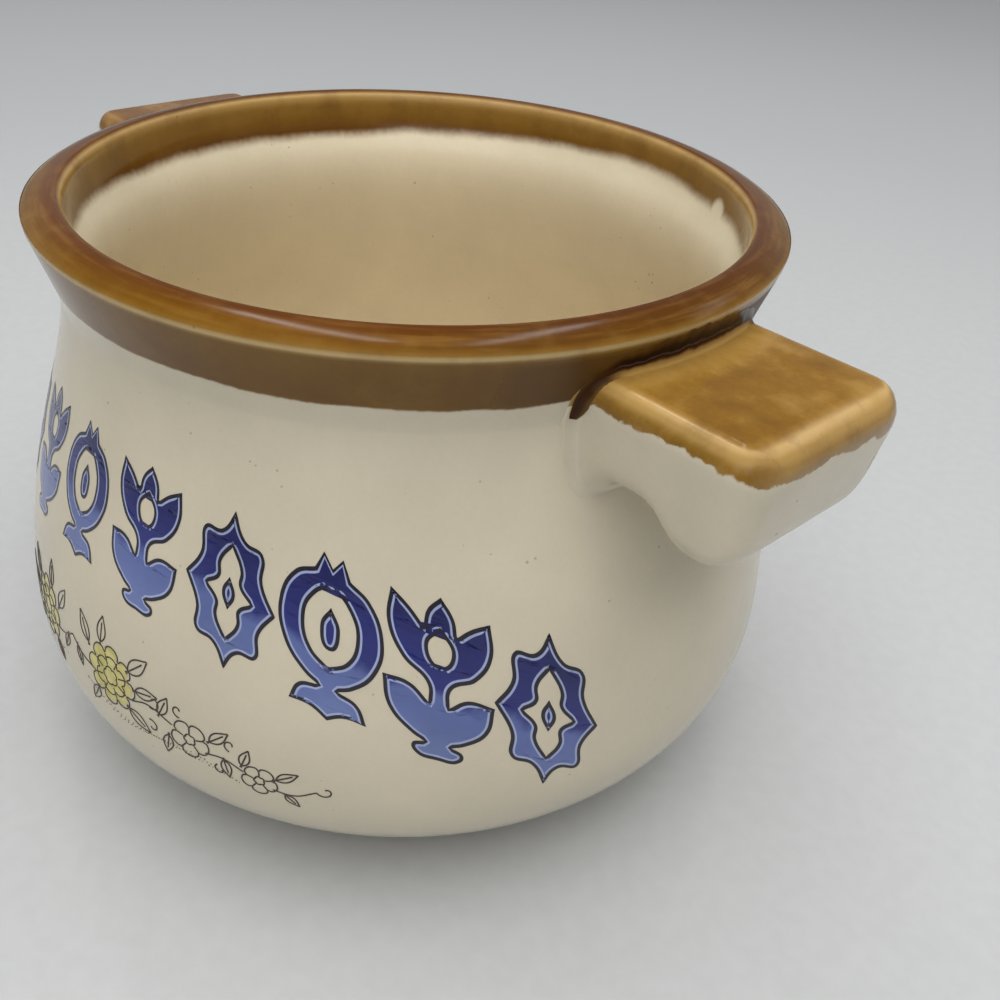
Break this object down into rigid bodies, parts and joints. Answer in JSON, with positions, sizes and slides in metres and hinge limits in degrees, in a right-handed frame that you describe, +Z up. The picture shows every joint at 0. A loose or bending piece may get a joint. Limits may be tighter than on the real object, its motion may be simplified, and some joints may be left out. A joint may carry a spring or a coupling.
{
  "type": "lug soup bowl",
  "caption": "Round-bellied stoneware soup bowl with a flared rolled lip, a recessed foot ring and a solid lug handle on each side.",
  "frame": {"origin": "centre of the foot ring's flat underside, on the pot's axis", "axes": "+Z up along the pot's axis, +X along the two lugs, towards the right lug; the printed front faces -Y"},
  "size_m": [0.157, 0.131, 0.096],
  "materials": {
    "cream_glaze": "cream gloss glaze with fine brown specks over buff stoneware",
    "amber_glaze": "amber brown gloss glaze that thins to tan on edges",
    "cobalt_print": "cobalt blue transfer print fired under the gloss glaze",
    "line_print": "dark line print fired under the gloss glaze",
    "yellow_print": "pale yellow print fired under the gloss glaze",
    "bare_clay": "unglazed buff stoneware, matt"
  },
  "bodies": {
    "root": {"bowl": "cream_glaze", "lug_right": "amber_glaze", "lug_left": "amber_glaze"}
  },
  "joints": []
}
